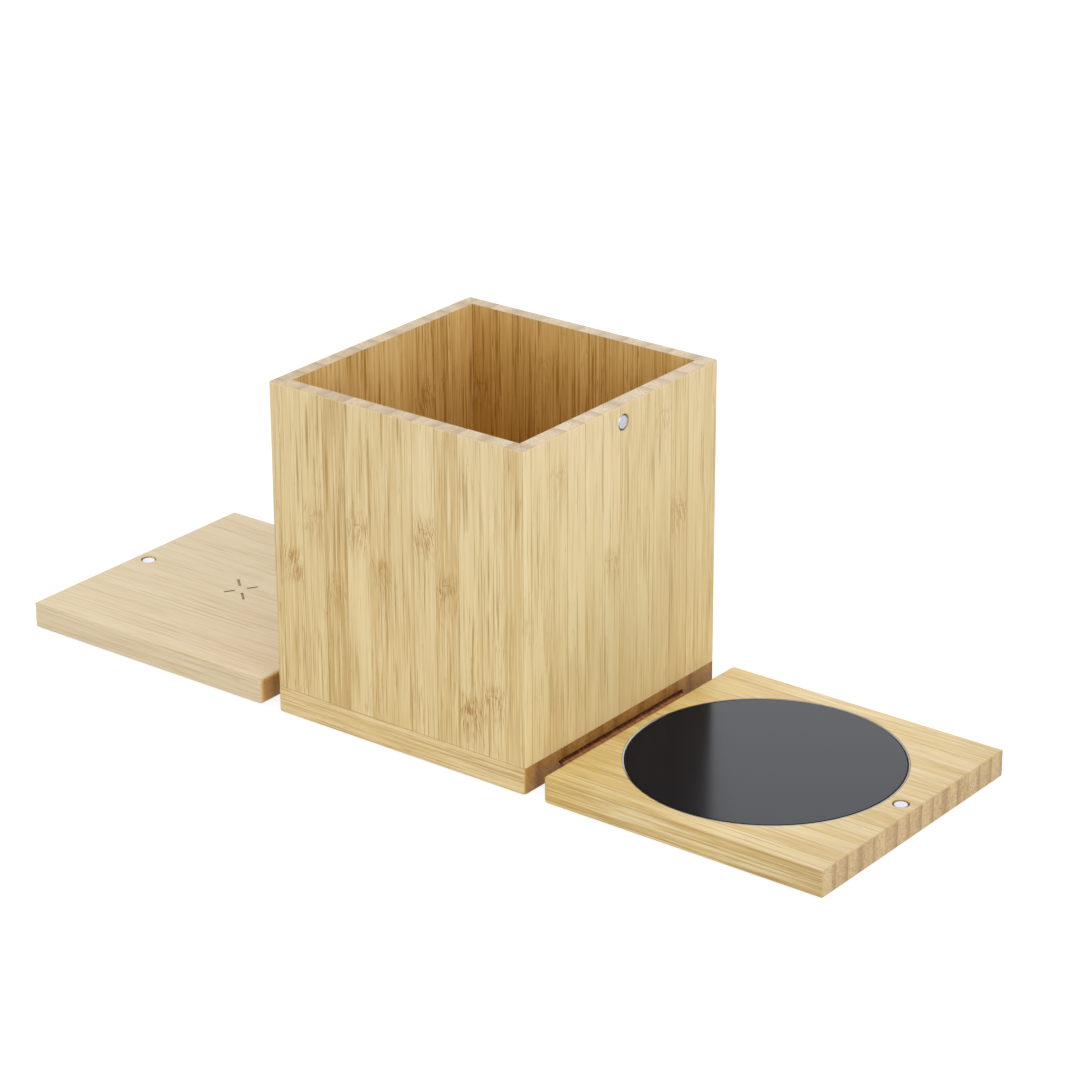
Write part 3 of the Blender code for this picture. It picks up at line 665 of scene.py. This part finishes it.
def silicone():
    """The dark seal, with a painted highlight on one side and a painted grey sheen on the other."""
    m = Shading("seal_silicone")
    place = m.object_mm()
    colour = m.mottled(m.noise(place), (0.012, 0.012, 0.013), (0.022, 0.022, 0.024))
    x, y, _ = m.split(place)
    middle = (seal_low + seal_high) / 2 * mm_per_metre
    radius = (seal_high.x - seal_low.x) / 2 * mm_per_metre
    toward_x = m.times(m.take(x, middle.x), math.cos(highlight_turn))
    toward_y = m.times(m.take(y, middle.y), math.sin(highlight_turn))
    from_highlight = m.take(radius, m.add(toward_x, toward_y))
    highlight = m.smooth(from_highlight, *highlight_fades, out_low=0.95, out_high=0.0)
    far_sheen = m.smooth(from_highlight, *sheen_grows)
    # Painted highlight on one side of the seal, and painted grey sheen on the other.
    colour = m.mix(highlight, colour, (0.72, 0.78, 0.78))
    colour = m.mix(far_sheen, colour, (0.27, 0.26, 0.25))
    return m.finish(colour, 0.35, Specular_IOR_Level=0.3)


def leather():
    """Brown strap with a pebbled grain, and painted shade that darkens it beside the box."""
    m = Shading("strap_leather")
    place = m.object_mm()
    from_box = m.take(m.size_of(m.split(place)[0]), base_high.x * mm_per_metre)
    # Painted shade on the strap beside the box, lighter brown further out.
    painted_shade = m.smooth(from_box, *strap_shade_fades, out_low=-0.25, out_high=0.20)
    grain_and_shade = m.add(m.noise(place, detail=4.0, roughness=0.6), painted_shade)
    stops = [(0.25, (0.055, 0.010, 0.002)), (0.60, (0.30, 0.12, 0.035)), (0.85, (0.46, 0.22, 0.08))]
    m.bump(m.dots(place, scale=2.2), distance_mm=0.08, strength=0.6)
    return m.finish(m.ramp(grain_and_shade, stops), 0.6, Specular_IOR_Level=0.2)


def nickel(name, painted_light_level):
    """The plating of a magnet, uneven in colour and gloss, made lighter or darker as a whole by a level that
    is painted light and shade.
    """
    m = Shading(name)
    grain = m.noise(m.object_mm(), detail=4.0, roughness=0.7)
    bright = Vector((1.0, 1.01, 1.15)) * painted_light_level
    m.bump(grain, distance_mm=0.02, strength=0.3)
    colour = m.mottled(grain, tuple(bright * 0.82), tuple(bright))
    return m.finish(colour, m.add(0.30, m.times(grain, 0.16)), metallic=1.0)


def copper_winding():
    """Copper wire wound flat: rings round the middle of the coil."""
    m = Shading("coil_copper")
    x, y, _ = m.split(m.object_mm())
    turns = m.math("PINGPONG", away_from(m, x, y, coil_middle), half_turn)
    colour = m.ramp(m.times(turns, 2.2), [(0.0, (0.20, 0.06, 0.02)), (0.8, (0.78, 0.34, 0.15))])
    m.bump(turns, distance_mm=0.4, strength=0.8)
    return m.finish(colour, 0.32, metallic=1.0)


def foot_rubber():
    dark, light = (0.018, 0.018, 0.018), (0.034, 0.033, 0.032)
    return speckled("foot_rubber", dark, light, scale=3.0, roughness=0.82, relief_mm=0.03)


def screw_steel():
    dark, light = (0.48, 0.48, 0.50), (0.66, 0.66, 0.68)
    return speckled("screw_steel", dark, light, scale=5.0, roughness=0.3, metallic=1.0, relief_mm=0.01)


def cover_plastic():
    dark, light = (0.026, 0.026, 0.027), (0.045, 0.045, 0.046)
    return speckled("cover_plastic", dark, light, scale=5.0, roughness=0.55, relief_mm=0.04)


def socket_steel():
    dark, light = (0.50, 0.50, 0.51), (0.68, 0.68, 0.69)
    return speckled("socket_steel", dark, light, scale=4.0, roughness=0.26, metallic=1.0, relief_mm=0.01)


def socket_plastic():
    dark, light = (0.018, 0.018, 0.019), (0.03, 0.03, 0.031)
    return speckled("socket_plastic", dark, light, scale=5.0, roughness=0.5)


def circuit_laminate():
    dark, light = (0.012, 0.11, 0.045), (0.03, 0.20, 0.09)
    return speckled("circuit_laminate", dark, light, scale=1.5, roughness=0.4, relief_mm=0.02)


def chip_plastic():
    dark, light = (0.012, 0.012, 0.013), (0.022, 0.022, 0.024)
    return speckled("chip_plastic", dark, light, scale=6.0, roughness=0.45)


def connector_plastic():
    dark, light = (0.72, 0.70, 0.62), (0.84, 0.82, 0.74)
    return speckled("connector_plastic", dark, light, scale=3.0, roughness=0.45)


def ferrite():
    dark, light = (0.045, 0.045, 0.05), (0.08, 0.08, 0.085)
    return speckled("ferrite", dark, light, scale=3.0, roughness=0.7)


def spreader_aluminium():
    dark, light = (0.72, 0.72, 0.74), (0.84, 0.84, 0.86)
    return speckled("spreader_aluminium", dark, light, scale=2.0, roughness=0.35, metallic=1.0)


def heater_film():
    dark, light = (0.36, 0.15, 0.035), (0.52, 0.24, 0.06)
    return speckled("heater_film", dark, light, scale=0.6, roughness=0.35)


def insulation_felt():
    dark, light = (0.58, 0.58, 0.54), (0.78, 0.78, 0.74)
    return speckled("insulation_felt", dark, light, scale=4.0, roughness=0.95, relief_mm=0.2)


def lead_plastic():
    dark, light = (0.02, 0.013, 0.01), (0.04, 0.028, 0.02)
    return speckled("lead_plastic", dark, light, scale=3.0, roughness=0.55)


def numbered(name):
    return [f"{name}_{n}" for n in range(1, 5)]


def small_parts():
    """Everything else, apart from the charger's chip and the thermistor, which stay plain."""
    paint(black_glass(), "glass_plate")
    paint(silicone(), "glass_seal")
    # The magnets share one plating at three levels, which are painted light and shade for how much light each
    # one catches.
    paint(nickel("magnet_nickel", 0.60), "box_magnet_left", "box_magnet_right")
    paint(nickel("charging_magnet_nickel", 0.84), "charging_magnet")
    paint(nickel("warming_magnet_nickel", 0.37), "warming_magnet")
    feet = ("base_foot", "charging_foot", "warming_foot")
    paint(foot_rubber(), *(foot for name in feet for foot in numbered(name)))
    paint(screw_steel(), *numbered("base_cover_screw"), *numbered("charging_cover_screw"))
    paint(cover_plastic(), "base_cover", "charging_cover")
    paint(socket_steel(), "usb_c_socket")
    paint(socket_plastic(), "usb_c_insert")
    paint(circuit_laminate(), "control_board", "charger_circuit_board")
    paint(chip_plastic(), "control_chip")
    connectors = ("control_connector_left", "control_connector_right", "charger_connector")
    paint(connector_plastic(), *connectors)
    paint(ferrite(), "ferrite_sheet")
    paint(spreader_aluminium(), "heat_spreader")
    paint(heater_film(), "heater_film")
    paint(insulation_felt(), "insulation_pad")
    paint(copper_winding(), "charging_coil")


# Straps and leads


def flat_band(low, high, rows):
    """A flat band in a box, with eased edges and rows of points along and across it."""
    size = high - low
    ease = size.z * 0.3
    sharp = math.radians(60)
    bm = bmesh.new()
    bmesh.ops.create_grid(bm, x_segments=rows[0], y_segments=rows[1], size=0.5)
    bmesh.ops.scale(bm, vec=(size.x - 2 * ease, size.y - 2 * ease, 1.0), verts=bm.verts)
    grown = bmesh.ops.extrude_face_region(bm, geom=bm.faces[:])
    top = [item for item in grown["geom"] if isinstance(item, bmesh.types.BMVert)]
    bmesh.ops.translate(bm, vec=(0.0, 0.0, size.z), verts=top)
    bmesh.ops.translate(bm, vec=(low + high) / 2 - Vector((0.0, 0.0, size.z / 2)), verts=bm.verts)
    bmesh.ops.recalc_face_normals(bm, faces=bm.faces)
    edges = [edge for edge in bm.edges if edge.is_manifold and edge.calc_face_angle(0.0) > sharp]
    bmesh.ops.bevel(bm, geom=edges, offset=ease, segments=2, profile=0.5, affect="EDGES")
    return bm


def flexible_band(name, node, material, panel, rows):
    """A band in place of its CAD solid, which sags a little in the gap."""
    low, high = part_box(node)
    bm = flat_band(low, high, rows)
    box_side = base_high.x if panel == "warming_panel" else base_low.x
    panel_side = warm_low.x if panel == "warming_panel" else charge_high.x
    for vert in bm.verts:
        share = (vert.co.x - box_side) / (panel_side - box_side)
        if 0.0 < share < 1.0:
            vert.co.z -= band_sag * math.sin(math.pi * share)
    mesh = bpy.data.meshes.new(name)
    bm.to_mesh(mesh)
    bm.free()
    mesh.shade_smooth()
    mesh.materials.append(material)
    band = bpy.data.objects.new(name, mesh)
    bpy.context.scene.collection.objects.link(band)
    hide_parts(node)
    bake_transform(band)


def straps_and_leads():
    strap = leather()
    lead = lead_plastic()
    for side, panel in (("left", "charging_panel"), ("right", "warming_panel")):
        flexible_band("strap_" + side, "hinge_strap_" + side, strap, panel, strap_rows)
        flexible_band("lead_" + side, "power_lead_" + side, lead, panel, lead_rows)


# Stage


def floor_white():
    """White with a shadow where it is seen or mirrored, plain elsewhere, clear from below."""
    m = Shading("floor_white")
    m.tree.nodes.remove(m.shader)
    path = m.node("LightPath").outputs
    direct = m.math("ADD", path["Is Camera Ray"], path["Is Glossy Ray"], clamp=True)
    paper = m.node("BsdfDiffuse", {"Color": (floor_seen,) * 3})
    glow = m.node("Emission", {"Strength": floor_glow})
    seen = m.node("AddShader", (paper.outputs[0], glow.outputs[0]))
    bounce = m.node("BsdfDiffuse", {"Color": (floor_bounce,) * 3})
    above = m.node("MixShader", (direct, bounce.outputs[0], seen.outputs[0]))
    from_below = m.node("NewGeometry").outputs["Backfacing"]
    clear = m.node("BsdfTransparent")
    both = m.node("MixShader", (from_below, above.outputs[0], clear.outputs[0]))
    m.put(m.tree.nodes["Material Output"].inputs["Surface"], both.outputs[0])
    return m.material


def stage_floor():
    half = floor_size / 2
    corners = [(-half, -half), (half, -half), (half, half), (-half, half)]
    mesh = bpy.data.meshes.new("floor")
    mesh.from_pydata([(x, y, -floor_drop) for x, y in corners], [], [(0, 1, 2, 3)])
    mesh.materials.append(floor_white())
    floor = bpy.data.objects.new("floor", mesh)
    bpy.context.scene.collection.objects.link(floor)


def sky():
    """White where it is seen or mirrored, and a little dimmer as light on the object."""
    world = bpy.data.worlds.new("studio")
    bpy.context.scene.world = world
    world.use_nodes = True
    m = Nodes(world.node_tree)
    path = m.node("LightPath").outputs
    seen = m.math("ADD", path["Is Camera Ray"], path["Is Glossy Ray"])
    direct = m.math("ADD", seen, path["Is Transmission Ray"], clamp=True)
    strength = m.node("MapRange", {"Value": direct, "To Min": sky_strength, "To Max": 1.0})
    background = m.tree.nodes["Background"]
    m.put(background.inputs["Color"], (1.0, 1.0, 1.0))
    m.put(background.inputs["Strength"], strength.outputs[0])


def softbox(name, place, side, power):
    light = bpy.data.lights.new(name, "AREA")
    light.shape = "SQUARE"
    light.size = side
    light.energy = power
    lamp = bpy.data.objects.new(name, light)
    lamp.location = place
    direction = light_target - Vector(place)
    lamp.rotation_euler = direction.to_track_quat("-Z", "Y").to_euler()
    bpy.context.scene.collection.objects.link(lamp)


def studio():
    stage_floor()
    sky()
    for name, (place, side, power) in softboxes.items():
        softbox(name, place, side, power)


def camera():
    data = bpy.data.cameras.new("camera")
    data.lens = camera_lens
    data.sensor_width = sensor_width
    data.clip_start = nearest_seen
    view = bpy.data.objects.new("camera", data)
    turn = (camera_target - camera_place).to_track_quat("-Z", "Y").to_matrix().to_4x4()
    view.matrix_world = Matrix.Translation(camera_place) @ turn @ Matrix.Rotation(camera_roll, 4, "Z")
    bpy.context.scene.collection.objects.link(view)
    bpy.context.scene.camera = view


camera()
studio()
bamboo_parts()
small_parts()
straps_and_leads()
bpy.context.scene.view_settings.view_transform = "Standard"
